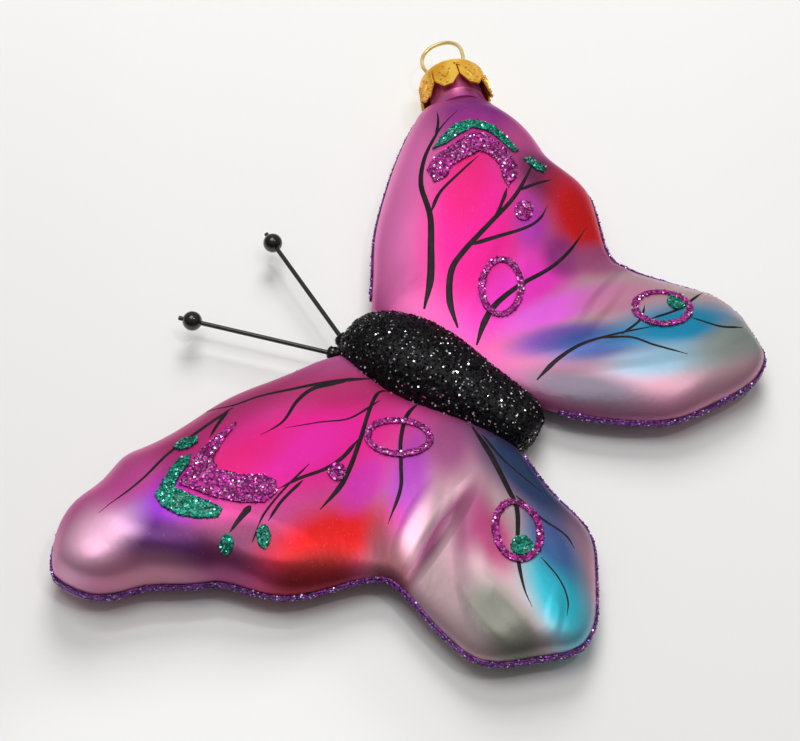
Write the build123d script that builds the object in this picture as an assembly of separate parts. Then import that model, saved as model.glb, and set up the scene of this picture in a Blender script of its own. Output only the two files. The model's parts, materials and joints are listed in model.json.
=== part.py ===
from build123d import *
from math import copysign, cos, pi, radians, sin, sqrt
import os

# Butterfly ornament of mouth-blown glass, lying on its back. Millimetres.
# X runs across the span, towards the wing with the metal cap. Y runs along the body, to the head.
# Z is up. While it is modelled, the mould seam lies in the plane Z = 0. At the end
# everything moves together, so that the origin is under the middle of the whole box.

# Driving sizes of the blown glass
half_span = 65.0
wing_height = 8.2
wing_depth = 3.8
glass_wall = 0.8
edge_power = 2.4
hind_edge_power = 2.1
section_steps = 10

# Rim points of one wing, from the wing tip round to the end of the hindwing. Each row is one
# section of the blown wing, from a rim point on the body's side to one on the outer side.
# Shares: the two rim points over half_span, the height over wing_height, the loss of
# height towards the notch, and how much of the side's trim the row takes. The trims are how
# much narrower each wing came out of the mould than a wing with both rims on the table.
wing_tip_rows_shares = (
    (1.0035, 0.474, 1.0045, 0.448, 0.16, 0, 0),
    (1.000, 0.487, 1.0035, 0.432, 0.32, 0, 0),
    (0.988, 0.502, 0.999, 0.403, 0.56, 0, 0),
    (0.955, 0.522, 0.974, 0.355, 0.80, 0, 0),
    (0.868, 0.540, 0.914, 0.300, 0.95, 0, 0),
)
wing_rows_shares = (
    (0.746, 0.532, 0.846, 0.205, 1.00, 0, 0.5),
    (0.600, 0.508, 0.790, 0.105, 1.00, 0, 0.3),
    (0.446, 0.461, 0.763, 0.012, 0.97, 0.04, 0),
    (0.300, 0.403, 0.717, -0.050, 0.90, 0.10, 0),
    (0.169, 0.328, 0.655, -0.104, 0.80, 0.18, 0),
    (0.065, 0.248, 0.609, -0.147, 0.70, 0.25, 0),
    (0.045, 0.125, 0.589, -0.182, 0.62, 0.30, 0),
    (0.042, -0.015, 0.588, -0.207, 0.57, 0.32, 0),
    (0.045, -0.135, 0.595, -0.235, 0.55, 0.30, 0.20),
    (0.062, -0.258, 0.608, -0.274, 0.57, 0.20, 0.45),
    (0.095, -0.369, 0.627, -0.326, 0.62, 0.10, 0.70),
    (0.148, -0.483, 0.648, -0.394, 0.66, 0.04, 0.90),
    (0.215, -0.568, 0.660, -0.458, 0.66, 0, 1.00),
    (0.300, -0.620, 0.648, -0.508, 0.60, 0, 1.00),
    (0.385, -0.663, 0.609, -0.562, 0.48, 0, 0.80),
    (0.454, -0.676, 0.554, -0.622, 0.32, 0, 0.50),
    (0.484, -0.672, 0.534, -0.643, 0.20, 0, 0.30),
    (0.500, -0.665, 0.520, -0.653, 0.10, 0, 0.20),
)
fore_row_count = 6
left_trim = 1.6
right_trim = 3.0

# Neck that the glass was blown through, at the right wing's tip. Places along it
# count from the foot of the cap's petals, outwards.
neck_x_share = 0.829
neck_y_share = 0.452
neck_lift = 3.0
neck_angle = 42.0
neck_radius = 4.9
neck_length = 6.4
neck_step = 0.15
neck_root = 2.0
neck_overrun = 1.5
shoulder_reach = 1.9
shoulder_radius = 6.6
shoulder_lift_share = 0.6
shoulder_radius_share = 0.85

# Body bulge, from tail to head: place along it, half width and height, as shares of its sizes
body_half_width = 8.4
body_height = 8.4
body_depth = 3.2
body_half_length = 17.9
body_middle_x = -1.0
body_middle_y = 0.4
body_power = 2.1
body_rows_shares = (
    (-1.0, 0.14, 0.18), (-0.985, 0.34, 0.34), (-0.92, 0.48, 0.50), (-0.75, 0.60, 0.62),
    (-0.38, 0.75, 0.77), (-0.05, 0.90, 0.92), (0.24, 0.98, 0.99), (0.45, 0.97, 0.97),
    (0.70, 0.84, 0.85), (0.88, 0.64, 0.66), (0.975, 0.41, 0.42), (1.0, 0.16, 0.20),
)

# Glitter coats and paint beads
coat_thickness = 0.5
glitter_thickness = 0.35
rim_glitter_height = 1.6
body_room_margin = 1.6

# Patches of coloured glitter on the wings, as outlines in plan, in shares of half_span
glitter_outlines_shares = {
    "magenta_crescent_left": (
        (-0.446, 0.336), (-0.494, 0.350), (-0.556, 0.357), (-0.599, 0.356), (-0.641, 0.347),
        (-0.687, 0.341), (-0.680, 0.299), (-0.671, 0.247), (-0.649, 0.191), (-0.613, 0.143),
        (-0.572, 0.136), (-0.545, 0.157), (-0.547, 0.190), (-0.582, 0.236), (-0.597, 0.290),
        (-0.578, 0.317), (-0.525, 0.328)),
    "magenta_crescent_right": (
        (0.523, 0.374), (0.571, 0.380), (0.616, 0.359), (0.655, 0.345), (0.692, 0.331),
        (0.708, 0.296), (0.703, 0.252), (0.687, 0.210), (0.660, 0.170), (0.627, 0.151),
        (0.584, 0.154), (0.601, 0.180), (0.632, 0.208), (0.649, 0.245), (0.648, 0.280),
        (0.606, 0.300), (0.564, 0.319), (0.527, 0.313), (0.491, 0.332)),
    "teal_crescent_left": (
        (-0.591, 0.371), (-0.627, 0.387), (-0.676, 0.381), (-0.743, 0.368), (-0.759, 0.339),
        (-0.757, 0.289), (-0.738, 0.244), (-0.712, 0.210), (-0.684, 0.215), (-0.689, 0.263),
        (-0.696, 0.305), (-0.699, 0.344), (-0.664, 0.354), (-0.621, 0.356)),
    "teal_crescent_right": (
        (0.595, 0.398), (0.642, 0.400), (0.690, 0.391), (0.722, 0.368), (0.741, 0.334),
        (0.747, 0.293), (0.732, 0.240), (0.711, 0.192), (0.697, 0.204), (0.711, 0.250),
        (0.722, 0.297), (0.708, 0.340), (0.673, 0.358), (0.624, 0.374)),
    "teal_leaf_left": (
        (-0.596, 0.419), (-0.559, 0.419), (-0.535, 0.393), (-0.549, 0.380), (-0.576, 0.385),
        (-0.594, 0.399)),
    "teal_leaf_right": (
        (0.695, 0.171), (0.713, 0.152), (0.708, 0.105), (0.687, 0.100), (0.681, 0.122)),
}

# Round patches: middle and two radii in shares of half_span, turn as a share of half a turn
ring_band = 1.15
glitter_rings_shares = {
    "forewing_ring_left": (-0.251, -0.012, 0.087, 0.060, -0.31),
    "forewing_ring_right": (0.300, 0.010, 0.095, 0.060, 0.145),
    "hindwing_ring_left": (-0.335, -0.399, 0.097, 0.063, 0.185),
    "hindwing_ring_right": (0.466, -0.379, 0.080, 0.072, -0.365),
}
glitter_dots_shares = {
    "hindwing_dot_left": (-0.372, -0.430, 0.029, 0.026, 0.10),
    "hindwing_dot_right": (0.505, -0.402, 0.031, 0.025, 0.20),
    "magenta_dot_left": (-0.431, 0.055, 0.026, 0.022, 0.11),
    "magenta_dot_right": (0.543, 0.081, 0.032, 0.025, 0.09),
    "teal_dot_left_outer": (-0.753, 0.158, 0.023, 0.016, 0.13),
    "teal_dot_left_inner": (-0.689, 0.096, 0.030, 0.016, 0.18),
}

# Antennae: black wires glued in the head, a glass bead on each
antenna_wire_radius = 0.4
antenna_bead_radius = 1.7
antenna_hole_clearance = 0.02
antenna_stub = 0.7
glue_radius = 1.25
antenna_lift = 0.3
antenna_roots_and_tips = {
    "left": ((-5.1, 19.0), (-12.0, 43.2)),
    "right": ((-1.8, 19.2), (9.9, 41.3)),
}

# Pressed brass cap, along the neck
cap_radius = 6.2
cap_flare = 0.4
cap_sheet = 0.3
cap_shoulder = 1.2
cap_seat_gap = 0.2
petal_count = 8
petal_turn = 26.0
petal_notch_height = 2.2
petal_notch_width = 3.2
petal_overrun = 1.0
slit_width = 0.24
slit_length = 2.6
boss_length = 2.6
boss_width = 1.7
boss_height = 0.28

# Sprung wire hanger: a loop above the cap, and two legs in the neck
hanger_wire_radius = 0.38
hanger_hole_clearance = 0.07
leg_offset = 3.0
leg_splay = 0.62
leg_straight = 2.4
leg_length = 11.0
leg_end_length = 2.2
leg_end_inset = 1.1
leg_bend_radius = 4.0
loop_height = 9.9
loop_bulge = 0.9
loop_lean = 0.5
loop_bend_radius = 3.6
loop_turn = -17.0

neck_axis = Vector(cos(radians(neck_angle)), sin(radians(neck_angle)), 0)
neck_side = Vector(-neck_axis.Y, neck_axis.X, 0)
neck_foot = Vector(neck_x_share * half_span, neck_y_share * half_span, neck_lift)
neck_plane = Plane(neck_foot, x_dir=neck_side, z_dir=neck_axis)
cap_top = neck_length + cap_seat_gap + cap_sheet
up = Vector(0, 0, 1)


def lens_wire(a, b, height, depth, drop, power):
    """Closed section from rim point a to rim point b, in two halves that meet at the seam."""
    upper = [a]
    lower = [a]
    for step in range(1, section_steps):
        turn = cos(pi * step / section_steps)
        share = (1 - copysign(abs(turn) ** (2 / power), turn)) / 2
        lift = (1 - turn * turn) ** (1 / power) * (1 - drop * share)
        on_chord = a + (b - a) * share
        upper.append(on_chord + up * (height * lift))
        lower.append(on_chord - up * (depth * lift))
    upper.append(b)
    lower.append(b)
    return Wire([Spline(*upper), Spline(*reversed(lower))])


def moved_rim(points, inner_points, grow):
    """The rim points, each moved by grow square to the rim, away from its inner point."""
    moved = []
    for index, point in enumerate(points):
        before = points[max(index - 1, 0)]
        after = points[min(index + 1, len(points) - 1)]
        along = after - before
        out = Vector(along.Y, -along.X, 0).normalized()
        if out.dot(point - inner_points[index]) < 0:
            out = -out
        moved.append(point + out * grow)
    return moved


def wing_rows(side):
    """Sections of one wing, drawn on the right: rim points, height, depth, drop and power."""
    rows = []
    tables = wing_rows_shares if side > 0 else wing_tip_rows_shares + wing_rows_shares
    hind_start = len(tables) - len(wing_rows_shares) + fore_row_count
    for index, (ax, ay, bx, by, height, drop, trim) in enumerate(tables):
        a = Vector(ax, ay) * half_span
        b = Vector(bx, by) * half_span
        inwards = (b - a).normalized() * trim
        if side > 0:
            b -= inwards * right_trim
        else:
            a += inwards * left_trim
        power = edge_power if index < hind_start else hind_edge_power
        rows.append((a, b, height * wing_height, sqrt(height) * wing_depth, drop, power))
    return rows


def shoulder_rows():
    """Sections where the right wing's tip narrows to the round neck."""
    foot_radius = neck_radius + neck_step
    foot = neck_foot
    shoulder = Vector(neck_foot.X, neck_foot.Y, neck_lift * shoulder_lift_share)
    shoulder -= neck_axis * shoulder_reach
    half = shoulder_radius * shoulder_radius_share
    return [
        (foot + neck_side * foot_radius, foot - neck_side * foot_radius, foot_radius, foot_radius, 0, 2),
        (shoulder + neck_side * shoulder_radius, shoulder - neck_side * shoulder_radius, half, half, 0, 2),
    ]


def wing(side, grow):
    """One blown wing as a solid, with its whole skin moved outwards by grow."""
    rows = wing_rows(side)
    if side > 0:
        rows = shoulder_rows() + rows
    a_points = [row[0] for row in rows]
    b_points = [row[1] for row in rows]
    centres = [(a + b) / 2 for a, b in zip(a_points, b_points)]
    grown_a = moved_rim(a_points, centres, grow)
    grown_b = moved_rim(b_points, centres, grow)
    sections = []
    for a, b, (_, _, height, depth, drop, power) in zip(grown_a, grown_b, rows):
        sections.append(lens_wire(a, b, height + grow, depth + grow, drop, power))
    solid = Solid.make_loft(sections)
    return solid if side > 0 else mirror(solid, Plane.YZ)


def neck_cylinder(radius, start, end):
    """Cylinder along the neck, from one place on it to another."""
    aligned = (Align.CENTER, Align.CENTER, Align.MIN)
    return neck_plane * Pos(0, 0, start) * Cylinder(radius, end - start, align=aligned)


def body(grow):
    """The body's bulge as a solid, with its skin moved outwards by grow."""
    sections = []
    for place, width, height in body_rows_shares:
        middle = Vector(body_middle_x, body_middle_y + place * (body_half_length + grow))
        half = Vector(width * (body_half_width + grow), 0)
        sections.append(lens_wire(middle - half, middle + half, height * (body_height + grow),
                                  sqrt(height) * (body_depth + grow), 0, body_power))
    return Solid.make_loft(sections)


def wing_skin(side):
    """Thin layer all round one wing, from which its glitter is cut."""
    return wing(side, glitter_thickness) - wing(side, 0)


def rim_glitter(skin):
    """Bead of glitter along the mould seam of one wing, clear of the body and of the cap."""
    slab = Box(4 * half_span, 4 * half_span, rim_glitter_height)
    body_room = Pos(body_middle_x, body_middle_y) * Box(
        2 * (body_half_width + body_room_margin), 2 * (body_half_length + body_room_margin),
        2 * body_height)
    return (skin & slab) - body_room - cap_room


def prism(outline):
    """Cutter as tall as the wing over an outline in plan, from above the rim's glitter."""
    return extrude(Pos(0, 0, rim_glitter_height) * outline, amount=wing_height + cap_radius)


def oval(row, inset=0):
    """Oval in plan from a row of shares, made smaller by inset."""
    x, y, long_share, short_share, turn = row
    ellipse = Ellipse(long_share * half_span - inset, short_share * half_span - inset)
    return Pos(x * half_span, y * half_span) * Rot(0, 0, turn * 180) * ellipse


def glitter_patches(skins):
    """Every patch of coloured glitter, cut from the skin of the wing it lies on."""
    outlines = {}
    for name, row in glitter_dots_shares.items():
        outlines[name] = oval(row)
    for name, row in glitter_rings_shares.items():
        outlines[name] = oval(row) - oval(row, ring_band)
        dot = name.replace("ring", "dot")
        if dot in outlines:
            outlines[dot] -= outlines[name]
    for name, points in glitter_outlines_shares.items():
        outlines[name] = make_face(Polyline(*[Vector(*p) * half_span for p in points], close=True))
    patches = {}
    for name, outline in outlines.items():
        side = "left" if "left" in name else "right"
        patches[name] = skins[side] & prism(outline)
    return patches


def antenna_ends(name):
    root, tip = antenna_roots_and_tips[name]
    return Vector(*root, antenna_lift), Vector(*tip, antenna_lift)


def antenna_wire(name, radius):
    """Straight wire from inside the glue to just past its bead."""
    root, tip = antenna_ends(name)
    along = (tip - root).normalized()
    aligned = (Align.CENTER, Align.CENTER, Align.MIN)
    length = (tip - root).length + antenna_bead_radius + antenna_stub
    return Plane(root, z_dir=along) * Cylinder(radius, length, align=aligned)


def antenna_bead(name):
    """Round bead, bored for its wire."""
    tip = antenna_ends(name)[1]
    ball = Pos(*tip) * Sphere(antenna_bead_radius)
    return ball - antenna_wire(name, antenna_wire_radius + antenna_hole_clearance)


def body_glitter():
    """Glitter layer round the body, with the two drops of glue that hold the antennae."""
    coat = Part() + body(coat_thickness)
    for name in antenna_roots_and_tips:
        coat += Pos(*antenna_ends(name)[0]) * Sphere(glue_radius)
    coat -= glass_outside
    for name in antenna_roots_and_tips:
        coat -= antenna_wire(name, antenna_wire_radius + antenna_hole_clearance)
    return coat


def cap_skirt():
    """Turned cup of the cap: flat top, rounded shoulder and a skirt that flares a little."""
    foot = cap_radius + cap_flare
    shoulder_place = cap_top - cap_shoulder
    inner_shoulder = cap_shoulder - cap_sheet
    flat = cap_radius - cap_shoulder
    outer_arc = RadiusArc((cap_radius, shoulder_place), (flat, cap_top), -cap_shoulder)
    inner_arc = RadiusArc((flat, cap_top - cap_sheet), (cap_radius - cap_sheet, shoulder_place),
                          inner_shoulder)
    profile = make_face([
        Line((foot, 0), outer_arc @ 0), outer_arc,
        Polyline(outer_arc @ 1, (0, cap_top), (0, cap_top - cap_sheet), inner_arc @ 0),
        inner_arc, Polyline(inner_arc @ 1, (foot - cap_sheet, 0), (foot, 0)),
    ])
    return revolve(Plane.XZ * profile, Axis.Z)


def petal_gap():
    """Cutter for one notch between two petals, with the slit above it."""
    half = petal_notch_width / 2
    slit_top = petal_notch_height + slit_length
    slope = half / petal_notch_height
    outline = Polyline(
        (half + slope * petal_overrun, -petal_overrun), (slit_width / 2, petal_notch_height),
        (slit_width / 2, slit_top), (-slit_width / 2, slit_top),
        (-slit_width / 2, petal_notch_height), (-half - slope * petal_overrun, -petal_overrun),
        close=True)
    reach = cap_radius + cap_flare + petal_overrun
    return extrude(Plane.XZ * make_face(outline), amount=-reach)


def petal_boss():
    """Raised diamond in the middle of one petal, on the skirt."""
    middle = petal_notch_height + boss_length / 2 - petal_overrun / 2
    radius = cap_radius + cap_flare * (1 - middle / (cap_top - cap_shoulder))
    outline = Polyline((boss_width / 2, 0), (0, boss_length / 2), (-boss_width / 2, 0),
                       (0, -boss_length / 2), close=True)
    base = Plane((0, radius - cap_sheet / 2, middle), x_dir=(1, 0, 0), z_dir=(0, 1, 0))
    return extrude(base * make_face(outline), amount=boss_height + cap_sheet / 2, taper=20)


def crown_cap():
    """Crown cap with its petals pressed out, and two holes for the hanger."""
    cap = cap_skirt()
    for index in range(petal_count):
        turn = index * 360 / petal_count + petal_turn - 90
        cap += Rot(0, 0, turn) * petal_boss()
        cap -= Rot(0, 0, turn + 180 / petal_count) * petal_gap()
    for side in (-1, 1):
        place = Rot(0, 0, loop_turn) * Pos(side * leg_offset, 0, cap_top)
        cap -= place * Cylinder(hanger_wire_radius + hanger_hole_clearance, 4 * cap_sheet)
    return neck_plane * cap


def hanger_path():
    """Middle line of the wire, in the plane of the loop, from one leg's end to the other's."""
    under = neck_length + cap_seat_gap
    leg_out = leg_offset + leg_splay
    loop_top = cap_top + loop_height
    loop_half = leg_offset + loop_bulge
    left = [(-leg_out + leg_end_inset, under - leg_length), (-leg_out, under - leg_length + leg_end_length),
            (-leg_offset, under - leg_straight), (-leg_offset, cap_top + leg_straight),
            (-loop_half + loop_lean, cap_top + loop_height / 2), (-loop_half + loop_lean, loop_top)]
    right = [(loop_half + loop_lean, loop_top), (loop_half + loop_lean, cap_top + loop_height / 2),
             (leg_offset, cap_top + leg_straight), (leg_offset, under - leg_straight),
             (leg_out, under - leg_length + leg_end_length),
             (leg_out - leg_end_inset, under - leg_length)]
    bends = [leg_end_inset, leg_bend_radius, leg_bend_radius, leg_bend_radius, loop_bend_radius]
    return FilletPolyline(*left, *right, radius=bends + bends[::-1])


def wire_hanger():
    path = hanger_path()
    section = Plane(path @ 0, z_dir=path % 0) * Circle(hanger_wire_radius)
    wire = sweep(section, path=path)
    return neck_plane * Rot(0, 0, loop_turn) * Rot(90, 0, 0) * wire


glass_outside = body(0) + wing(-1, 0) + wing(1, 0) + neck_cylinder(neck_radius, -neck_root, neck_length)
glass_inside = body(-glass_wall) + wing(-1, -glass_wall) + wing(1, -glass_wall)
neck_bore = neck_cylinder(neck_radius - glass_wall, -neck_root, neck_length + neck_overrun)
cap_room = neck_cylinder(cap_radius + cap_flare + neck_step, -petal_overrun, cap_top)

skins = {"left": wing_skin(-1), "right": wing_skin(1)}
right_rims = rim_glitter(skins["right"]).solids().sort_by(Axis.Y)

pieces = {
    "glass_shell": glass_outside - glass_inside - neck_bore,
    "body_glitter_coat": body_glitter(),
    "rim_glitter_left": rim_glitter(skins["left"]),
    "rim_glitter_right_rear": right_rims[0],
    "rim_glitter_right_front": right_rims[-1],
    "crown_cap": crown_cap(),
    "wire_hanger": wire_hanger(),
    **glitter_patches(skins),
}
for name in antenna_roots_and_tips:
    pieces["antenna_wire_" + name] = antenna_wire(name, antenna_wire_radius)
    pieces["antenna_bead_" + name] = antenna_bead(name)

whole = Compound(children=[Part() + piece for piece in pieces.values()])
box = whole.bounding_box()
to_origin = Pos(-(box.min.X + box.max.X) / 2, -(box.min.Y + box.max.Y) / 2, -box.min.Z)
os.makedirs("parts", exist_ok=True)
for name, piece in pieces.items():
    export_step(to_origin * piece, f"parts/{name}.step")
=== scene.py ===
# %% [markdown]
# # A blown-glass butterfly ornament
# The ornament is one thin shell of glass, blown in a mould, silvered inside and sprayed with satin
# lacquer. Somebody then painted the veins with a brush and drew on the wings with glue and glitter.
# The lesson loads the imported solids, gives the shell its airbrushed colours, and then adds what a
# hand added: veins, glitter, the finish of the antennae and the beading of the pressed cap.

# %% Load the frame
import json
import math
import random

import bpy
from mathutils import Matrix, Vector
from mathutils.bvhtree import BVHTree


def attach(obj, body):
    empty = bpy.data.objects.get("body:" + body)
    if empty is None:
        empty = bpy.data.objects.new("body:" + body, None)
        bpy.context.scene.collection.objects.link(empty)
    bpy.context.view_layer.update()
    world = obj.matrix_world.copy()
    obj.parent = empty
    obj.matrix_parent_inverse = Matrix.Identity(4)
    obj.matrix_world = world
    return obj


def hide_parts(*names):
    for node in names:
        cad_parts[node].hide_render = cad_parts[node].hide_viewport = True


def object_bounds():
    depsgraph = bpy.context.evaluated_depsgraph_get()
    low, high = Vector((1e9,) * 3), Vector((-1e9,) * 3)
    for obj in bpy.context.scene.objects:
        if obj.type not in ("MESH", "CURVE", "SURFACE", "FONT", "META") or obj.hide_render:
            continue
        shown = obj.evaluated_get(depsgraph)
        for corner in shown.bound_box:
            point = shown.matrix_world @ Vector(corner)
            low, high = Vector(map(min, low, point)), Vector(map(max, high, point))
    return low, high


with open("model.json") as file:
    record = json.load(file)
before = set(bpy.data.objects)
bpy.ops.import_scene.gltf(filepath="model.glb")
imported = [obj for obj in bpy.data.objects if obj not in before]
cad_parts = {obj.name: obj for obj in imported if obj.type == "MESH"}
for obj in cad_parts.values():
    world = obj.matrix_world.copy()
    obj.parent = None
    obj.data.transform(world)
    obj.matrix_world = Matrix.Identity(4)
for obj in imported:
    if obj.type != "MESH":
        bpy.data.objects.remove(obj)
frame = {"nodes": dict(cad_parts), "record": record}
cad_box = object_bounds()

# %% [markdown]
# ## Camera
# The photograph looks down at the table at a steep angle from beyond the left wing, with a long
# lens. The camera's three directions are built from an azimuth, an elevation and a small roll, so
# each of them can be set on its own. Places in the lesson are in millimetres from the middle of the
# body, at the height of the rim, and MODEL_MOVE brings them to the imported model's origin.

# %% Camera
MM = 0.001
MODEL_MOVE = Vector((-0.9176, -0.6627, 4.0795)) * MM
AIM = Vector((-1.94, 7.75, 0)) * MM + MODEL_MOVE
CAMERA_DISTANCE = 336.2 * MM
AZIMUTH = math.radians(-59.7)
ELEVATION = math.radians(53.0)
ROLL = math.radians(1.5)
LENS = 90
SENSOR_WIDTH = 36
NEAREST_SEEN = 0.01
FARTHEST_SEEN = 10

backwards = Vector((math.sin(AZIMUTH) * math.cos(ELEVATION),
                    -math.cos(AZIMUTH) * math.cos(ELEVATION), math.sin(ELEVATION)))
level_right = Vector((math.cos(AZIMUTH), math.sin(AZIMUTH), 0))
level_up = backwards.cross(level_right)
right = level_right * math.cos(ROLL) + level_up * math.sin(ROLL)
upwards = level_up * math.cos(ROLL) - level_right * math.sin(ROLL)
camera_data = bpy.data.cameras.new("camera")
camera_data.lens = LENS
camera_data.sensor_width = SENSOR_WIDTH
camera_data.clip_start = NEAREST_SEEN
camera_data.clip_end = FARTHEST_SEEN
camera = bpy.data.objects.new("camera", camera_data)
turn = Matrix((right, upwards, backwards)).transposed().to_4x4()
camera.matrix_world = Matrix.Translation(AIM + backwards * CAMERA_DISTANCE) @ turn
bpy.context.scene.collection.objects.link(camera)
bpy.context.scene.camera = camera
bpy.context.scene.view_settings.view_transform = "Standard"
print("camera at", [round(value, 3) for value in camera.location])

# %% [markdown]
# ## Lamps
# A soft box behind the ornament makes its shadow and one overhead makes its sheen. Glitter also
# needs a small bright lamp, because a flake is bright only when it mirrors something bright. The
# box behind stays out of reflections, so the far slopes keep their own colour.

# %% Lamps
LAMP_AIM = Vector((0, 0, 10)) * MM


def soft_box(name, place, size, power):
    """Square lamp at a place, aimed at the ornament."""
    lamp = bpy.data.lights.new(name, "AREA")
    lamp.size = size
    lamp.energy = power
    holder = bpy.data.objects.new(name, lamp)
    holder.location = place
    holder.rotation_euler = (LAMP_AIM - Vector(place)).to_track_quat("-Z", "Y").to_euler()
    bpy.context.scene.collection.objects.link(holder)
    return holder


back_box = soft_box("back_box", place=(0.50, 0.29, 0.50), size=0.35, power=4.0)
back_box.visible_glossy = False
soft_box("top_box", place=(0.04, 0.16, 0.85), size=0.50, power=2.6)
soft_box("spark_lamp", place=(0.10, -0.30, 0.85), size=0.05, power=0.7)

# %% [markdown]
# ## Room
# The room is pale overhead and dimmer towards the floor, most of all on the viewer's side. A plain
# grey room would make the metallic lacquer flat; this one shows in it as a dark band along each
# slope. How low and how near a direction looks is its dot product with one fixed direction.

# %% Room
ROOM_STRENGTH = 0.32
DIM_SIDE = 0.4
DIM_DEPTH = -0.9
DIM_FROM, DIM_TO = -1.0, 0.5
PALE_END = (0.15, (0.95, 0.95, 0.95, 1))
DIM_END = (0.80, (0.16, 0.15, 0.17, 1))

world = bpy.data.worlds.new("pale_room")
bpy.context.scene.world = world
world.use_nodes = True
tree = world.node_tree
room = tree.nodes["Background"]
room.inputs["Strength"].default_value = ROOM_STRENGTH
facing_way = tree.nodes.new("ShaderNodeTexCoord").outputs["Generated"]
lowness = tree.nodes.new("ShaderNodeVectorMath")
lowness.operation = "DOT_PRODUCT"
lowness.inputs[1].default_value = (DIM_SIDE * math.sin(AZIMUTH), -DIM_SIDE * math.cos(AZIMUTH),
                                   DIM_DEPTH)
nearness = tree.nodes.new("ShaderNodeMapRange")
nearness.inputs["From Min"].default_value = DIM_FROM
nearness.inputs["From Max"].default_value = DIM_TO
dimming = tree.nodes.new("ShaderNodeValToRGB")
for element, (position, shade) in zip(dimming.color_ramp.elements, (PALE_END, DIM_END)):
    element.position = position
    element.color = shade
for source, target in ((facing_way, lowness.inputs[0]),
                       (lowness.outputs["Value"], nearness.inputs["Value"]),
                       (nearness.outputs["Result"], dimming.inputs["Fac"]),
                       (dimming.outputs["Color"], room.inputs["Color"])):
    tree.links.new(source, target)
print("room strength", ROOM_STRENGTH)

# %% [markdown]
# ## Helpers for materials
# Every finish is a small tree of nodes. It could be joined up by hand in the shader editor; in a
# script these helpers add a node, join two, and mix colours, so that each finish below reads as a
# recipe. Patterns read Object coordinates, which are metres here.

# %% Node helpers
# The Mix node has sockets of the same name for each kind of value; these are the colour ones.
MIX_FIRST, MIX_SECOND, MIX_RESULT = 6, 7, 2


def srgb(red, green, blue):
    """Colour as picked from a screen, 0 to 255, as the linear colour that a shader needs."""
    def linear(value):
        value = value / 255
        return value / 12.92 if value <= 0.04045 else ((value + 0.055) / 1.055) ** 2.4
    return (linear(red), linear(green), linear(blue), 1)


class Finish:
    """A material with its shader, its coordinates and short ways to add nodes."""

    def __init__(self, name, **sockets):
        self.material = bpy.data.materials.new(name)
        self.material.use_nodes = True
        self.tree = self.material.node_tree
        self.shader = self.tree.nodes["Principled BSDF"]
        self.place = self.tree.nodes.new("ShaderNodeTexCoord").outputs["Object"]
        for socket, value in sockets.items():
            self.shader.inputs[socket.replace("_", " ")].default_value = value

    def node(self, kind, inputs=(), **settings):
        """Add a node, with its settings, and with a value or a link for each named input."""
        made = self.tree.nodes.new(kind)
        for name, value in settings.items():
            setattr(made, name, value)
        for socket, value in inputs:
            self.put(made.inputs[socket], value)
        return made

    def put(self, socket, value):
        """Link another node's output to a socket, or set the socket to a constant."""
        if isinstance(value, bpy.types.NodeSocket):
            self.tree.links.new(value, socket)
        else:
            socket.default_value = value

    def calculate(self, operation, *values):
        made = self.node("ShaderNodeMath", enumerate(values), operation=operation)
        return made.outputs["Value"]

    def mix(self, share, first, second):
        """Colour that goes from the first to the second as the share goes from 0 to 1."""
        made = self.node("ShaderNodeMix", data_type="RGBA")
        for socket, value in (("Factor", share), (MIX_FIRST, first), (MIX_SECOND, second)):
            self.put(made.inputs[socket], value)
        return made.outputs[MIX_RESULT]

    def ramp(self, value, stops):
        """Colour read from a few stops, each a place from 0 to 1 with its colour."""
        made = self.node("ShaderNodeValToRGB", [("Fac", value)])
        elements = made.color_ramp.elements
        while len(elements) < len(stops):
            elements.new(0.5)
        for element, (place, colour) in zip(elements, stops):
            element.position = place
            element.color = colour
        return made.outputs["Color"]

    def span(self, value, low, high, first=0.0, last=1.0):
        """Soft step from first to last as a value goes from low to high."""
        inputs = (("Value", value), ("From Min", low), ("From Max", high),
                  ("To Min", first), ("To Max", last))
        made = self.node("ShaderNodeMapRange", interpolation_type="SMOOTHSTEP")
        for socket, item in inputs:
            self.put(made.inputs[socket], item)
        return made.outputs["Result"]

    def noise(self, scale, detail):
        made = self.node("ShaderNodeTexNoise", [("Vector", self.place), ("Scale", scale),
                                                ("Detail", detail)])
        return made.outputs["Fac"]

    def bump(self, height, strength, distance):
        made = self.node("ShaderNodeBump", [("Height", height), ("Strength", strength),
                                            ("Distance", distance)])
        self.put(self.shader.inputs["Normal"], made.outputs["Normal"])

    def colour(self, value):
        self.put(self.shader.inputs["Base Color"], value)


print("helpers ready")
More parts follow.
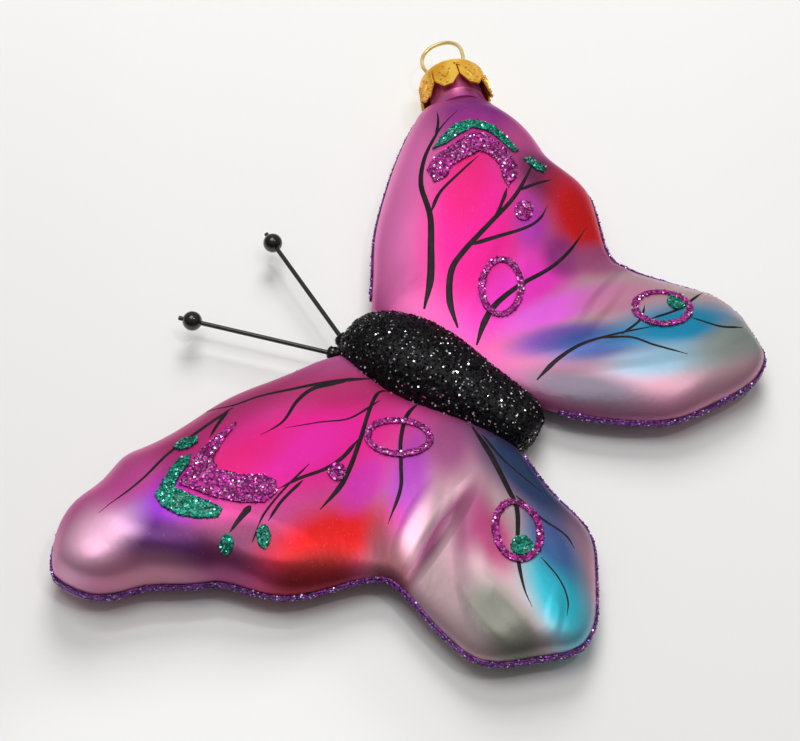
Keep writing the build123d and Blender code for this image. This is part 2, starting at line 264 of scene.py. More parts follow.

# %% [markdown]
# ## Airbrushed paint and painted light
# An airbrush leaves soft round clouds of colour, each fading into the last. An image of the paint
# would be simple, but clouds stay sharp at any size and need no unwrapping. So the paint is a list
# of clouds in plan, given for the right wing and mirrored for the left. A few strokes are the same
# on both wings and stand in the list once; the rest belong to one wing. A later cloud covers an
# earlier one. A few clouds are not paint but painted light: painted highlights on the left tip and
# on the ridges between the wings, and painted shade in the crease and valley between the left wings.

# %% Clouds of paint and painted light
PAINT_AND_LIGHT_CLOUDS = (
    # middle x, y, radii, turn, colour, strength, side: 0 both wings, -1 left, 1 right
    (30, -27, 27, 21, -45, (204, 176, 180), 1.0, 0),
    (32, 25, 26, 6, 12, (178, 36, 104), 0.80, -1),
    (27, 25, 24, 7, 20, (255, 132, 204), 0.92, 1),
    (51, 24, 13, 8, 20, (136, 40, 140), 0.90, 0),
    (49, 22, 10, 6, 30, (150, 50, 226), 0.90, -1),
    (53, 17.5, 11, 4.5, 60, (84, 30, 98), 0.95, -1),
    (47, 8, 9, 5, 70, (118, 50, 86), 0.85, -1),
    # painted highlight on the tip of the left forewing
    (59, 28, 10, 6, 10, (250, 196, 222), 0.80, -1),
    (59, 17, 11, 4, 60, (214, 146, 168), 0.85, -1),
    (48, 29, 8, 4, 10, (222, 84, 170), 0.80, -1),
    (27, 10.5, 24, 11, 30, (255, 26, 158), 1.0, 0),
    (29, 11, 13, 5, 25, (255, 44, 190), 0.75, -1),
    (36, 17, 12, 4, 18, (248, 26, 116), 0.60, 0),
    (13, 11, 14, 5, 48, (190, 30, 90), 0.60, -1),
    (34, 3, 8, 3.5, 30, (188, 52, 186), 0.85, 1),
    (44, 6.5, 7, 5, 60, (108, 40, 84), 0.90, 1),
    (22, -2.5, 14, 6, -15, (255, 56, 206), 1.0, 1),
    (24, -7, 14, 4, -20, (182, 56, 196), 0.85, -1),
    (39, -2, 13, 6.5, 28, (238, 14, 18), 1.0, -1),
    (41, -3, 12, 6.5, 45, (226, 18, 22), 1.0, 1),
    (45, -3, 9, 4, 38, (128, 20, 16), 0.85, -1),
    (31.5, -4.5, 5, 4, 40, (128, 32, 116), 0.80, 1),
    # painted shade in the valley between the left wings
    (36, -11, 8, 4, -40, (140, 74, 86), 0.85, -1),
    (36, -10, 8, 4, -40, (170, 84, 140), 0.80, 1),
    (27, -1, 7, 3.5, 0, (232, 50, 196), 0.80, -1),
    (13, -8, 7, 4, -30, (168, 76, 140), 0.80, -1),
    # painted shade along the crease between the left wings
    (27.5, -15.2, 11, 1.7, 0, (122, 26, 88), 0.90, -1),
    # painted highlight on the ridge above that crease
    (30, -11.8, 8, 2.0, -10, (250, 196, 214), 0.80, -1),
    # painted shade in the valley between the left wings, laid over the end of the highlight
    (37, -12.5, 6, 3, -30, (128, 66, 76), 0.90, -1),
    # painted pearly highlight below the crease
    (31, -21, 9, 3.5, -35, (236, 180, 200), 0.70, -1),
    (23.5, -18.5, 8, 3, -20, (186, 88, 140), 0.85, -1),
    (25, -23.5, 8, 3.5, -45, (190, 44, 120), 0.85, -1),
    (11, -21, 17, 5.5, -64, (48, 70, 112), 1.0, -1),
    (28, -36.5, 12, 5.5, -50, (52, 200, 222), 1.0, -1),
    (21, -31.5, 9, 4, -58, (58, 92, 160), 0.90, -1),
    (37, -32, 12, 5, -70, (104, 110, 98), 0.92, -1),
    (14, -37, 15, 3.0, -48, (120, 134, 136), 0.80, -1),
    # painted lilac highlight along the ridge between the right wings
    (21, -9.5, 12, 3.6, -30, (250, 106, 240), 1.0, 1),
    # painted pearly highlight below that ridge
    (29, -17, 9, 5, -40, (226, 138, 178), 0.80, 1),
    (15.5, -12.5, 9, 3, -42, (130, 76, 190), 0.90, 1),
    (18, -19, 11, 4.5, -50, (40, 92, 168), 0.90, 1),
    (28, -29, 13, 6, -48, (24, 146, 190), 1.0, 1),
    (20, -30, 11, 3.5, -50, (140, 196, 222), 0.80, 1),
    (9, -21, 13, 3.5, -72, (100, 100, 114), 0.90, 1),
    (33, -39.5, 14, 4.5, -25, (148, 160, 152), 0.92, 1),
    (60, 36, 12, 9, 42, (255, 132, 184), 1.0, 1),
)
print("clouds of paint", len(PAINT_AND_LIGHT_CLOUDS))

# %% [markdown]
# Where the wings bend, the glass has faint creases. They rise or sink a fraction of a millimetre,
# so they are bump in the lacquer, in the same kind of list as the paint.

# %% Creases
MOULD_CREASES = (
    # middle x, y, radii, turn, rise in millimetres
    (27.5, -15.2, 11, 2.0, 0, -0.45),
    (29, -11.5, 10, 2.4, -8, 0.30),
    (25, -20, 14, 3.0, -30, 0.28),
    (36, -31, 9, 2.2, -70, -0.18),
    (32, -38, 5, 1.4, -20, 0.12),
    (18, -24, 16, 2.6, -52, -0.15),
    (46, 9, 10, 3.0, 66, -0.20),
    (22, 2, 18, 3.0, 14, -0.12),
)
print("creases", len(MOULD_CREASES))

# %% [markdown]
# ## Satin lacquer
# Silvering under a coloured lacquer is neither metal nor paint. A half metallic base under a soft
# clear coat has the same dull gleam. The clouds are laid over a pink ground one after another, and
# a fine speckle stands for the overspray.

# %% Lacquer
CLOUD_EDGE, CLOUD_CORE = 1.25, 0.35
MIDLINE_BLEND = 4 * MM
GROUND_PINK, GROUND_DEEP_PINK = srgb(212, 92, 158), srgb(196, 84, 148)
OVERSPRAY, OVERSPRAY_SHARE = srgb(240, 215, 228), 0.10
DRIFT_SCALE, SPECKLE_SCALE, WAVE_SCALE = 90.0, 2600.0, 900.0
WAVE_HEIGHT = 0.02


def cloud_share(finish, place, middle_x, middle_y, long_radius, short_radius, degrees):
    """Share of paint at each place: all of it in the cloud's core, none at its edge."""
    centred = finish.node("ShaderNodeMapping", [
        ("Vector", place),
        ("Location", (middle_x * MM, middle_y * MM, 0)),
        ("Rotation", (0, 0, math.radians(degrees))),
        ("Scale", (long_radius * MM, short_radius * MM, 1))], vector_type="TEXTURE")
    reach = finish.node("ShaderNodeVectorMath", [(0, centred.outputs["Vector"])],
                        operation="LENGTH")
    return finish.span(reach.outputs["Value"], CLOUD_EDGE, CLOUD_CORE)


def lacquered_glass():
    """Satin lacquer over silvering: a half metallic paint under a soft clear coat."""
    paint = Finish("satin_lacquer_on_silvered_glass", Metallic=0.60, Roughness=0.40,
                   Coat_Weight=0.12, Coat_Roughness=0.30)
    moved = paint.node("ShaderNodeVectorMath",
                       [(0, paint.place), (1, (MODEL_MOVE.x, MODEL_MOVE.y, 0))],
                       operation="SUBTRACT")
    parts = paint.node("ShaderNodeSeparateXYZ", [("Vector", moved.outputs["Vector"])])
    across, along = parts.outputs["X"], parts.outputs["Y"]
    mirrored = paint.node("ShaderNodeCombineXYZ", [
        ("X", paint.calculate("ABSOLUTE", across)), ("Y", along)]).outputs["Vector"]
    on_wing = {1: paint.span(across, -MIDLINE_BLEND, MIDLINE_BLEND),
               -1: paint.span(across, MIDLINE_BLEND, -MIDLINE_BLEND)}
    drift = paint.noise(DRIFT_SCALE, detail=1.0)
    colour = paint.mix(paint.span(drift, 0.3, 0.7), GROUND_PINK, GROUND_DEEP_PINK)
    # some of these clouds are painted highlights and painted shade, laid on in the same way as the
    # paint
    for *cloud, shade, strength, side in PAINT_AND_LIGHT_CLOUDS:
        share = cloud_share(paint, mirrored, *cloud)
        share = paint.calculate("MULTIPLY", share, strength)
        if side:
            share = paint.calculate("MULTIPLY", share, on_wing[side])
        colour = paint.mix(share, colour, srgb(*shade))
    speckle = paint.noise(SPECKLE_SCALE, detail=2.0)
    overspray = paint.span(speckle, 0.60, 0.85, 0.0, OVERSPRAY_SHARE)
    paint.colour(paint.mix(overspray, colour, OVERSPRAY))
    height = paint.calculate("MULTIPLY", paint.noise(WAVE_SCALE, detail=3.0), WAVE_HEIGHT)
    for *cloud, rise in MOULD_CREASES:
        share = cloud_share(paint, mirrored, *cloud)
        height = paint.calculate("MULTIPLY_ADD", share, rise, height)
    paint.bump(height, 1.0, MM)
    return paint.material


LACQUER = lacquered_glass()
print("lacquer has", len(LACQUER.node_tree.nodes), "nodes")

# %% [markdown]
# ## Helpers for pieces
# A imported node is never changed. A piece that needs another surface starts as a copy of the node's
# mesh, with its loose triangles merged. Each piece then rides on a body, gets its material, and
# hides the nodes it stands in for.

# %% Piece helpers
MERGE_DISTANCE = 0.002 * MM


def only(item):
    """Deselect everything, then select and activate one object."""
    bpy.ops.object.select_all(action="DESELECT")
    item.select_set(True)
    bpy.context.view_layer.objects.active = item


def new_object(name, mesh):
    item = bpy.data.objects.new(name, mesh)
    bpy.context.scene.collection.objects.link(item)
    return item


def copy_of_node(node, name):
    """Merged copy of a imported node's mesh, as a new object at the origin."""
    mesh = frame["nodes"][node].data.copy()
    mesh.materials.clear()
    copy = new_object(name, mesh)
    only(copy)
    bpy.ops.object.mode_set(mode="EDIT")
    bpy.ops.mesh.customdata_custom_splitnormals_clear()
    bpy.ops.mesh.select_all(action="SELECT")
    bpy.ops.mesh.remove_doubles(threshold=MERGE_DISTANCE)
    bpy.ops.object.mode_set(mode="OBJECT")
    return copy


def smooth(item, degrees):
    only(item)
    bpy.ops.object.shade_smooth_by_angle(angle=math.radians(degrees))


def wear(item, material):
    item.data.materials.clear()
    item.data.materials.append(material)


def finish_piece(item, body, slot, material, *nodes):
    """Put a piece on the body it rides on, give it its material and hide the nodes it stands in for.
    """
    wear(item, material)
    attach(item, body)
    if nodes:
        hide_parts(*nodes)
    print(item.name, "faces", len(item.data.polygons))


print("helpers ready")

# %% [markdown]
# ## The glass shell
# The solid already has nearly the right form. It was blown by hand, though, so at two stretches of
# the left wing the edge lies a millimetre or two off the mould's even line. Sculpting would do, but
# a soft pull that fades with distance is exact and can be used again on the glitter there. A smooth
# shading angle keeps the mould seam crisp and all the rest soft.

# %% Glass shell
BLOWN_BY_HAND = (
    # middle x, y, radii, then how far the wing's edge lies from the mould's even line, x, y
    (-52, 34, 10, 7, 0.5, 2.0),
    (-39, 33, 7, 6, 0.0, 1.1),
    (-8, -25, 8, 9, -1.9, 0.3),
)
SEAM_ANGLE = 35


def blow_by_hand(item):
    """Move a stretch of a wing's edge a millimetre or two, with a soft start and end."""
    for corner in item.data.vertices:
        x, y = (corner.co.x - MODEL_MOVE.x) / MM, (corner.co.y - MODEL_MOVE.y) / MM
        for middle_x, middle_y, reach_x, reach_y, move_x, move_y in BLOWN_BY_HAND:
            share = math.exp(-((x - middle_x) / reach_x) ** 2 - ((y - middle_y) / reach_y) ** 2)
            corner.co.x += move_x * share * MM
            corner.co.y += move_y * share * MM


glass = copy_of_node("glass_shell", "lacquered_glass_shell")
blow_by_hand(glass)
smooth(glass, SEAM_ANGLE)
finish_piece(glass, "glass", "lacquered_glass", LACQUER, "glass_shell")
glass_surface = BVHTree.FromObject(glass, bpy.context.evaluated_depsgraph_get())

# %% [markdown]
# ## Painted veins
# The veins are brush strokes: thick where the brush landed, thin where it left, with a slight crown
# of paint. They could be part of the lacquer's colour, but paint that stands on the glass catches
# the light. Each stroke is a few places in plan, and its width where it starts and where it ends.

# %% Places of the veins
VEIN_STROKES = {
    "left": (
        (((-9.4, 8.6), (-14.2, 13.7), (-19.1, 18.3), (-22.9, 21.7), (-27.0, 24.4), (-29.3, 28.0)),
         0.83, 0.33),
        (((-27.4, 23.9), (-34.2, 25.6), (-40.6, 26.9), (-45.7, 27.0), (-49.0, 27.5),
          (-56.3, 29.0)), 0.75, 0.25),
        (((-28.2, 24.3), (-32.1, 23.7), (-35.1, 23.1)), 0.83, 0.33),
        (((-12.8, 11.7), (-16.7, 15.0), (-20.6, 15.8), (-25.5, 15.2), (-28.6, 15.9),
          (-30.3, 16.6)), 1.0, 0.17),
        (((-12.7, 5.0), (-18.8, 6.9), (-22.4, 10.3), (-26.8, 14.2)), 0.45, 0.15),
        (((-9.4, 4.0), (-11.1, 6.0), (-14.7, 5.5), (-21.5, 3.3), (-26.8, 1.8), (-31.0, 1.1),
          (-36.4, 1.3)), 0.5, 0.83),
        (((-21.7, 3.6), (-25.9, 3.7), (-29.6, 4.7), (-33.6, 6.9), (-37.4, 8.5)), 0.67, 0.5),
        (((-30.4, 7.2), (-36.6, 7.7), (-42.1, 7.7), (-45.5, 7.1)), 0.33, 0.33),
        (((-33.6, 6.3), (-38.7, 6.8), (-43.1, 6.5)), 0.5, 0.42),
        (((-45.0, 7.1), (-47.6, 6.5)), 0.33, 0.17),
        (((-42.5, 10.1), (-45.3, 10.2), (-48.3, 10.2)), 1.17, 0.33),
        (((-8.9, -0.3), (-12.8, -0.2), (-17.6, -2.0), (-21.6, -4.5), (-25.6, -6.8), (-31.7, -8.3)),
         0.67, 0.5),
        (((-8.2, -9.9), (-11.7, -15.3), (-16.4, -21.2), (-19.5, -24.6), (-25.4, -28.0),
          (-28.5, -30.0), (-31.9, -32.9), (-33.8, -35.3)), 1.0, 0.42),
        (((-8.7, -12.0), (-11.6, -18.0), (-13.5, -25.8)), 0.5, 0.25),
        (((-17.0, -23.0), (-18.7, -28.3), (-19.3, -33.1), (-20.7, -35.6)), 0.5, 0.33),
        (((-25.4, -32.1), (-27.3, -36.5), (-29.4, -39.1), (-31.8, -40.3)), 0.25, 0.25),
    ),
    "right": (
        (((7.8, 8.9), (13.1, 10.9), (19.3, 14.5), (24.6, 17.9), (29.7, 22.8), (35.0, 25.4),
          (40.2, 26.4), (43.8, 26.5), (47.7, 25.9)), 1.33, 0.42),
        (((40.7, 26.3), (43.9, 27.8), (46.2, 29.4)), 0.67, 0.17),
        (((25.3, 18.1), (29.7, 18.9), (35.2, 18.1), (40.3, 17.2)), 0.67, 0.33),
        (((7.7, 2.2), (11.4, 6.0), (16.7, 8.8), (21.5, 9.0), (28.7, 8.2), (34.5, 7.5), (38.9, 7.6),
          (43.9, 8.4), (46.3, 9.5)), 1.17, 0.5),
        (((22.5, 9.0), (26.7, 6.0), (31.5, 2.7), (34.9, 1.6), (38.3, 1.9)), 0.83, 0.33),
        (((36.7, 9.4), (34.1, 8.7), (30.0, 8.1), (25.2, 8.5)), 0.67, 0.25),
        (((37.8, 7.3), (40.5, 5.9), (43.3, 4.1)), 0.67, 0.33),
        (((6.5, -2.2), (11.1, -1.1), (15.3, -1.0), (20.9, -2.4), (27.2, -4.8), (32.8, -5.7),
          (39.4, -5.5)), 1.17, 0.33),
        (((5.8, -14.2), (11.2, -15.5), (15.9, -17.7), (20.5, -21.8), (25.3, -26.9)), 0.83, 0.25),
        (((18.0, -19.4), (20.5, -23.7), (21.0, -28.1), (22.1, -33.7)), 0.5, 0.33),
        (((20.4, -22.2), (24.7, -23.4), (28.5, -22.5)), 0.5, 0.33),
        (((25.7, -24.8), (30.7, -28.0), (37.5, -29.3)), 0.5, 0.5),
        (((29.5, -30.4), (30.5, -35.5), (33.2, -38.7)), 0.33, 0.5),
    ),
}
print("strokes", {side: len(strokes) for side, strokes in VEIN_STROKES.items()})

# %% [markdown]
# A stroke starts as a grid, five places wide. The grid is laid along a smooth line through the
# stroke's places, and each of its corners is dropped onto the glass by a ray from above.

# %% Brush strokes
STROKE_COLUMNS = 5
STROKE_WIDENING = 1.5
STROKE_STEP = 0.5 * MM
STROKE_RISE = 0.07 * MM
STROKE_EDGE_SINK = 0.06 * MM
STROKE_EDGE_POWER = 6
LANDING_WIDTH, LANDING_GROWTH = 0.25, 6
LEAVING_WIDTH, LEAVING_GROWTH = 0.12, 5
ABOVE_ALL = 50 * MM


def on_glass(x, y):
    """Point on the painted face of the glass below a place in plan, and its normal."""
    hit, normal, _, _ = glass_surface.ray_cast(Vector((x, y, ABOVE_ALL)), Vector((0, 0, -1)))
    return hit, normal


def smooth_line(places):
    """Evenly spaced places along a smooth curve through a few given ones."""
    corners = [Vector((x * MM, y * MM)) for x, y in places]
    padded = [corners[0] * 2 - corners[1]] + corners + [corners[-1] * 2 - corners[-2]]
    line = []
    for first, a, b, last in zip(padded, padded[1:], padded[2:], padded[3:]):
        steps = max(2, round((b - a).length / STROKE_STEP))
        for step in range(steps):
            t = step / steps
            line.append(0.5 * (2 * a + (b - first) * t + (2 * first - 5 * a + 4 * b - last) * t * t
                               + (3 * a - first - 3 * b + last) * t * t * t))
    return line + [corners[-1]]


def brush_stroke(places, start_width, end_width):
    """One vein: a grid laid along its line on the glass, with rounded ends and a slight crown."""
    line = smooth_line(places)
    bpy.ops.object.select_all(action="DESELECT")
    bpy.ops.mesh.primitive_grid_add(x_subdivisions=STROKE_COLUMNS - 1,
                                    y_subdivisions=len(line) - 1, size=MM)
    stroke = bpy.context.object
    for row, place in enumerate(line):
        ahead = line[min(row + 1, len(line) - 1)] - line[max(row - 1, 0)]
        across = Vector((ahead.y, -ahead.x)).normalized()
        share = row / (len(line) - 1)
        half = (start_width + (end_width - start_width) * share) * STROKE_WIDENING * MM / 2
        half *= min(1, LANDING_WIDTH + LANDING_GROWTH * share,
                    LEAVING_WIDTH + LEAVING_GROWTH * (1 - share))
        for column in range(STROKE_COLUMNS):
            offset = 2 * column / (STROKE_COLUMNS - 1) - 1
            spot = place + across * half * offset
            hit, normal = on_glass(spot.x, spot.y)
            crown = STROKE_RISE * (1 - offset * offset)
            rise = crown - STROKE_EDGE_SINK * abs(offset) ** STROKE_EDGE_POWER
            stroke.data.vertices[row * STROKE_COLUMNS + column].co = hit + normal * rise
    return stroke


print("stroke columns", STROKE_COLUMNS)

# %% [markdown]
# The paint is thin and black, and lets a little of the lacquer's colour through in streaks. All the
# strokes of a wing are joined into one piece, with its faces turned outwards.

# %% Veins
VEIN_ANGLE = 80
STREAK_SCALE = 700.0


def vein_paint():
    """Thin black brush paint that lets a little of the lacquer's colour through."""
    paint = Finish("black_brush_paint", Roughness=0.5, Specular_IOR_Level=0.3)
    streaks = paint.noise(STREAK_SCALE, detail=3.0)
    paint.colour(paint.mix(paint.span(streaks, 0.35, 0.75), srgb(14, 9, 13), srgb(38, 20, 30)))
    paint.bump(streaks, 0.25, 0.05 * MM)
    return paint.material


def painted_veins(side, material):
    strokes = [brush_stroke(*row) for row in VEIN_STROKES[side]]
    only(strokes[0])
    for stroke in strokes:
        stroke.select_set(True)
    bpy.ops.object.join()
    veins = bpy.context.object
    veins.name = "painted_veins_" + side
    bpy.ops.object.mode_set(mode="EDIT")
    bpy.ops.mesh.select_all(action="SELECT")
    bpy.ops.mesh.normals_make_consistent(inside=False)
    bpy.ops.object.mode_set(mode="OBJECT")
    bpy.ops.object.transform_apply(location=True, rotation=True, scale=True)
    if sum(face.normal.z for face in veins.data.polygons) < 0:
        veins.data.flip_normals()
    smooth(veins, VEIN_ANGLE)
    finish_piece(veins, "glass", "lacquered_glass", material)


VEIN_PAINT = vein_paint()
for side in VEIN_STROKES:
    painted_veins(side, VEIN_PAINT)

# %% [markdown]
# ## Glitter finishes
# Glitter is hexagonal foil, less than half a millimetre across, dropped on wet glue. Up close it is
# a heap of tiny mirrors at random tilts. So each colour has two finishes: one for the bed of glue
# with foil in it, where every small cell has its own shade, and one for the loose flakes on top,
# which read their shade from an attribute. The near white flake shades are painted glints.

# %% Glitter finishes
CELLS_PER_METRE = 2600.0


def glitter_bed(name, dark, bright, roughness):
    """Glue with foil under it: each small cell has its own shade."""
    bed = Finish(name, Metallic=0.5, Roughness=roughness)
    cells = bed.node("ShaderNodeTexVoronoi", [("Vector", bed.place), ("Scale", CELLS_PER_METRE)])
    shade = bed.node("ShaderNodeSeparateColor", [("Color", cells.outputs["Color"])])
    bed.colour(bed.mix(bed.span(shade.outputs["Red"], 0.25, 0.95), dark, bright))
    bed.bump(shade.outputs["Green"], 0.9, 0.12 * MM)
    return bed.material


def flake_foil(name, stops):
    """Foil flakes, each with its own shade from an attribute on its face; the near white shades are
    painted glints.
    """
    foil = Finish(name, Metallic=0.85, Roughness=0.22)
    shade = foil.node("ShaderNodeAttribute", attribute_name="flake_shade_and_glint",
                      attribute_type="GEOMETRY")
    foil.colour(foil.ramp(shade.outputs["Fac"], stops))
    return foil.material


# the last stop of each flake foil is near white: a painted glint
GLITTERS = {
    "black_glitter": (
        glitter_bed("black_glitter_bed", srgb(4, 4, 5), srgb(26, 25, 28), 0.5),
        flake_foil("black_flake_foil", (
            (0.0, srgb(4, 4, 5)), (0.72, srgb(26, 25, 28)),
            (0.88, srgb(70, 66, 74)), (0.94, srgb(255, 250, 252))))),
    "magenta_glitter": (
        glitter_bed("magenta_glitter_bed", srgb(110, 14, 86), srgb(214, 60, 176), 0.4),
        flake_foil("magenta_flake_foil", (
            (0.0, srgb(128, 20, 104)), (0.30, srgb(206, 56, 172)),
            (0.66, srgb(240, 122, 214)), (0.88, srgb(255, 226, 248))))),
    "teal_glitter": (
        glitter_bed("teal_glitter_bed", srgb(6, 92, 80), srgb(24, 168, 138), 0.4),
        flake_foil("teal_flake_foil", (
            (0.0, srgb(6, 96, 82)), (0.35, srgb(20, 164, 132)),
            (0.72, srgb(84, 224, 184)), (0.92, srgb(222, 255, 244))))),
    "purple_glitter": (
        glitter_bed("purple_glitter_bed", srgb(74, 26, 92), srgb(150, 66, 164), 0.4),
        flake_foil("purple_flake_foil", (
            (0.0, srgb(72, 26, 96)), (0.35, srgb(156, 62, 170)),
            (0.62, srgb(112, 104, 214)), (0.84, srgb(236, 206, 248))))),
}
print("glitters", list(GLITTERS))

# %% [markdown]
# ## Glitter bed
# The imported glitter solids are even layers. A real bed is lumpy, so a copy of the solid is remeshed
# into even small faces and pushed in and out by a cloud texture. Corners that leave the packed
# model's box are brought back to it.

# %% Glitter bed
LUMP_GRAIN = 0.9 * MM
LUMP_DETAIL = 2
HALF_IN_HALF_OUT = 0.5


def keep_in_box(item):
    """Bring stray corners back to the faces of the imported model's box."""
    for corner in item.data.vertices:
        for axis in range(3):
            corner.co[axis] = min(max(corner.co[axis], cad_box[0][axis]), cad_box[1][axis])


def lumpy_bed(node, voxel, lump):
    """Uneven layer of glue and foil in the place of a packed glitter solid."""
    bed = copy_of_node(node, node + "_bed")
    blow_by_hand(bed)
    remesh = bed.modifiers.new("even_faces", "REMESH")
    remesh.mode = "VOXEL"
    remesh.voxel_size = voxel
    bpy.ops.object.modifier_apply(modifier=remesh.name)
    clouds = bpy.data.textures.new(node + "_lumps", "CLOUDS")
    clouds.noise_scale = LUMP_GRAIN
    clouds.noise_depth = LUMP_DETAIL
    lumps = bed.modifiers.new("lumps", "DISPLACE")
    lumps.texture = clouds
    lumps.texture_coords = "OBJECT"
    lumps.strength = lump
    lumps.mid_level = HALF_IN_HALF_OUT
    bpy.ops.object.modifier_apply(modifier=lumps.name)
    bpy.ops.object.shade_smooth()
    return bed


print("grain of the lumps", round(LUMP_GRAIN / MM, 2), "millimetres")

# %% [markdown]
# ## Loose flakes
# One hexagon is modelled and copied thousands of times. Each copy lies on a face of the bed that
# shows, leans at random, and gets a random size and shade, the lightest of them a painted glint. A
# particle system would scatter them too, but plain copies give the same result on every run.

# %% Copies of a pattern
def pattern(primitive, **settings):
    """Corners and faces of a primitive, to be copied many times into one mesh."""
    bpy.ops.object.select_all(action="DESELECT")
    primitive(**settings)
    item = bpy.context.object
    corners = [corner.co.copy() for corner in item.data.vertices]
    faces = [tuple(face.vertices) for face in item.data.polygons]
    bpy.data.objects.remove(item)
    return corners, faces


def copies(name, shape, placings):
    """One object made of copies of a pattern, each with its place, its turn and its size."""
    pattern_corners, pattern_faces = shape
    corners = []
    faces = []
    for place, turned, size in placings:
        first = len(corners)
        corners.extend(place + turned @ (corner * size) for corner in pattern_corners)
        faces.extend(tuple(first + corner for corner in face) for face in pattern_faces)
    mesh = bpy.data.meshes.new(name)
    mesh.from_pydata(corners, [], faces)
    return new_object(name, mesh)


FLAKE_RADIUS = 0.21 * MM
FLAKE = pattern(bpy.ops.mesh.primitive_circle_add, vertices=6, radius=FLAKE_RADIUS,
                fill_type="NGON")
print("flake corners", len(FLAKE[0]))

# %% [markdown]
# Flakes fall only on the faces that show, so a short ray from each face asks whether glass is in
# front of it. The number of flakes on a face follows its area.

# %% Flakes
FLAKES_PER_SQUARE_MM = 6.0
FLAKE_LEAN = 0.33
FLAKE_SIZES = (0.65, 1.15)
FLAKE_LIFTS = (0.02, 0.12)
SIGHT_START = 0.02 * MM
SIGHT_REACH = 0.6 * MM


def shows(face):
    """True for faces that lie on the outside of the ornament, not against the glass."""
    start = face.center + face.normal * SIGHT_START
    return glass_surface.ray_cast(start, face.normal, SIGHT_REACH)[0] is None


def flakes_on(bed, name, flake_size, seed):
    """Flakes strewn over the upper side of a bed, tilted at random, with a shade each, the lightest a
    painted glint.
    """
    chance = random.Random(seed)
    spots = []
    for face in bed.data.polygons:
        if shows(face):
            wanted = face.area / (MM * MM) * FLAKES_PER_SQUARE_MM
            for _ in range(int(wanted + chance.random())):
                spots.append((face.center.copy(), face.normal.copy()))
    placings = []
    shades_and_glints = []
    for place, normal in spots:
        lean = Vector([chance.gauss(0, FLAKE_LEAN) for _ in range(3)])
        facing = (normal + lean).normalized()
        spin = Matrix.Rotation(chance.uniform(0, math.pi), 3, "Z")
        turned = facing.to_track_quat("Z", "Y").to_matrix() @ spin
        size = chance.uniform(*FLAKE_SIZES) * flake_size
        lifted = place + normal * chance.uniform(*FLAKE_LIFTS) * MM
        placings.append((lifted, turned, size))
        # a share along the foil's stops: a painted shade, or near the top a painted glint
        shades_and_glints.append(chance.random())
    flakes = copies(name, FLAKE, placings)
    values = flakes.data.attributes.new("flake_shade_and_glint", "FLOAT", "FACE")
    values.data.foreach_set("value", shades_and_glints)
    return flakes


print("flakes per square millimetre", FLAKES_PER_SQUARE_MM)

# %% [markdown]
# ## Glitter pieces
# Every glitter node becomes a bed and its flakes. The coat on the body is coarse and lumpy. The
# bead along the rim is thin, so its faces, lumps and flakes are smaller. The patches on the wings
# lie between the two.

# %% Glitter pieces
# Each look is the size of the bed's faces, the height of its lumps and the size of its flakes.
BODY_GLITTER = (0.28 * MM, 0.35 * MM, 0.85)
RIM_GLITTER = (0.16 * MM, 0.10 * MM, 0.7)
WING_GLITTER = (0.14 * MM, 0.20 * MM, 0.85)


def glitter_piece(node, slot, seed, voxel, lump, flake_size):
    """A bed and its flakes in the place of one packed glitter node."""
    bed_finish, flake_finish = GLITTERS[slot]
    bed = lumpy_bed(node, voxel, lump)
    flakes = flakes_on(bed, node + "_flakes", flake_size, seed)
    keep_in_box(bed)
    keep_in_box(flakes)
    finish_piece(bed, "glass", slot, bed_finish, node)
    finish_piece(flakes, "glass", slot, flake_finish)


glitter_slots = {row["node"]: row["material_slot"] for row in frame["record"]["subparts"]
                 if "glitter" in row["material_slot"]}
for seed, (node, slot) in enumerate(glitter_slots.items()):
    if node == "body_glitter_coat":
        look = BODY_GLITTER
    else:
        look = RIM_GLITTER if node.startswith("rim") else WING_GLITTER
    glitter_piece(node, slot, seed, *look)

# %% [markdown]
# ## Antennae, cap and hanger
# The solids of these have their true form, so they keep it and only get finishes. The wires and
# beads get black lacquer. The cap and the hanger get the bright gold colour of thin plated sheet,
# with shallow dents; the gold is painted deeper in the dents, as painted shade.

# %% Hard finishes
DUST_SCALE, DENT_SCALE = 1800.0, 420.0


def black_lacquer(name, roughness):
    finish = Finish(name, Roughness=roughness, Coat_Weight=0.6, Coat_Roughness=0.08)
    dust = finish.noise(DUST_SCALE, detail=2.0)
    finish.colour(finish.mix(finish.span(dust, 0.4, 0.8), srgb(10, 10, 11), srgb(34, 33, 36)))
    finish.bump(dust, 0.12, 0.05 * MM)
    return finish.material


def bright_gold(name, base, dent_shade_gold, roughness):
    finish = Finish(name, Metallic=0.45, Roughness=roughness)
    dents = finish.noise(DENT_SCALE, detail=2.0)
    # the gold is painted deeper where the dents sink: painted shade in the dents
    finish.colour(finish.mix(finish.span(dents, 0.35, 0.7), dent_shade_gold, base))
    finish.bump(dents, 0.35, 0.3 * MM)
    return finish.material


WIRE_BLACK = black_lacquer("black_wire_lacquer", 0.35)
BEAD_BLACK = black_lacquer("black_bead_glass", 0.12)
CAP_GOLD = bright_gold("bright_cap_sheet", srgb(255, 206, 84), srgb(244, 176, 48), 0.24)
HANGER_GOLD = bright_gold("bright_hanger_wire", srgb(250, 232, 176), srgb(226, 198, 120), 0.2)
HARD_NODES = {
    "antenna_wire_left": WIRE_BLACK,
    "antenna_wire_right": WIRE_BLACK,
    "antenna_bead_left": BEAD_BLACK,
    "antenna_bead_right": BEAD_BLACK,
    "crown_cap": CAP_GOLD,
    "wire_hanger": HANGER_GOLD,
}
for node, material in HARD_NODES.items():
    wear(frame["nodes"][node], material)
print("nodes with a new finish", len(HARD_NODES))

# %% [markdown]
# ## Beading on the cap
# The press leaves a row of tiny domes along both edges of each petal and a few in the middle. They
# could be bump, but at this size they break the petal's outline. One round bead is copied to each
# place and set half into the sheet, where the skirt's radius puts it.

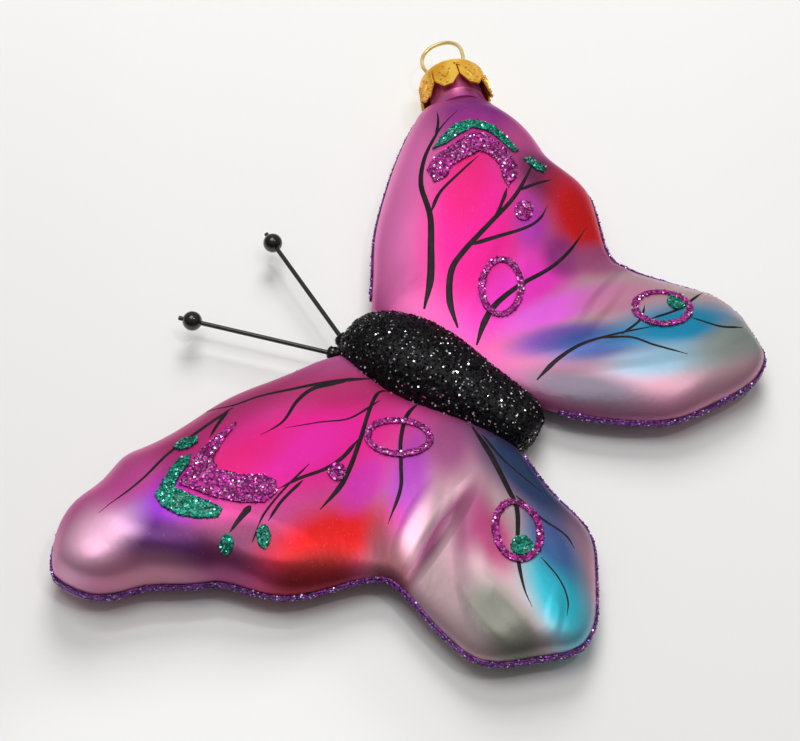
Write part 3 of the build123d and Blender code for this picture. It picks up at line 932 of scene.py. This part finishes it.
# %% Places of the beads
NECK_FOOT = Vector((53.885, 29.38, 3.0)) * MM + MODEL_MOVE
NECK_TURN = math.radians(42)
NECK_AXIS = Vector((math.cos(NECK_TURN), math.sin(NECK_TURN), 0))
NECK_SIDE = Vector((-NECK_AXIS.y, NECK_AXIS.x, 0))
PETALS = 8
PETAL_TURN = math.radians(26)
FOOT_RADIUS = 6.6 * MM
SKIRT_TAPER = 0.4 / 5.7  # the skirt narrows by 0.4 mm over its height of 5.7 mm
NOTCH_HEIGHT = 2.2 * MM
NOTCH_HALF = 1.6 * MM
PETAL_HALF = 2.55 * MM
BEAD_INSET = 0.42 * MM
BEAD_SPACING = 0.58 * MM
FIRST_BEAD = 0.55 * MM
EDGE_BEADS = 9
MIDDLE_BEADS = (
    # across the petal, up from the petals' foot, in millimetres
    (0, 4.3), (0, 4.9), (-0.9, 3.9), (0.9, 3.9), (-1.0, 2.0), (1.0, 2.0), (0, 0.7),
)


def bead_places():
    """Places on the skirt, petal by petal: two rows along the edges and a few in the middle."""
    places = []
    for petal in range(PETALS):
        middle = petal * 2 * math.pi / PETALS + PETAL_TURN
        spots = [(across * MM, along * MM) for across, along in MIDDLE_BEADS]
        for row in range(EDGE_BEADS):
            along = FIRST_BEAD + row * BEAD_SPACING
            edge = PETAL_HALF - NOTCH_HALF * max(0, 1 - along / NOTCH_HEIGHT) - BEAD_INSET
            spots += [(-edge, along), (edge, along)]
        for offset, along in spots:
            radius = FOOT_RADIUS - SKIRT_TAPER * along
            angle = middle + offset / radius
            out = NECK_SIDE * math.cos(angle) + Vector((0, 0, math.sin(angle)))
            places.append(NECK_FOOT + NECK_AXIS * along + out * radius)
    return places


print("places for beads", len(bead_places()))

# %% [markdown]
# The bead is an icosphere, whose faces are all about the same size. Beads that would rise above the
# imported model's box are left out.

# %% Cap beading
BEAD_RADIUS = 0.27 * MM

bead = pattern(bpy.ops.mesh.primitive_ico_sphere_add, subdivisions=2, radius=BEAD_RADIUS)
upright = Matrix.Identity(3)
beading = copies("cap_beading", bead, [(place, upright, 1) for place in bead_places()
                                       if place.z + BEAD_RADIUS <= cad_box[1][2]])
only(beading)
bpy.ops.object.shade_smooth()
finish_piece(beading, "cap", "cap_brass", CAP_GOLD)

# %% [markdown]
# ## Table
# The table is a glossy white sheet. A low roughness gives the dim reflection under the ornament.

# %% Table
TABLE_SIZE = 3
TABLE_DRIFT_SCALE = 3.0

bpy.ops.object.select_all(action="DESELECT")
bpy.ops.mesh.primitive_plane_add(size=TABLE_SIZE)
table = bpy.context.object
table.name = "table"
gloss = Finish("glossy_white_sheet", Roughness=0.12, Specular_IOR_Level=0.5)
drift = gloss.span(gloss.noise(TABLE_DRIFT_SCALE, detail=1.0), 0.3, 0.7)
gloss.colour(gloss.mix(drift, srgb(232, 231, 229), srgb(236, 235, 233)))
table.data.materials.append(gloss.material)
print("table", TABLE_SIZE, "metres across")
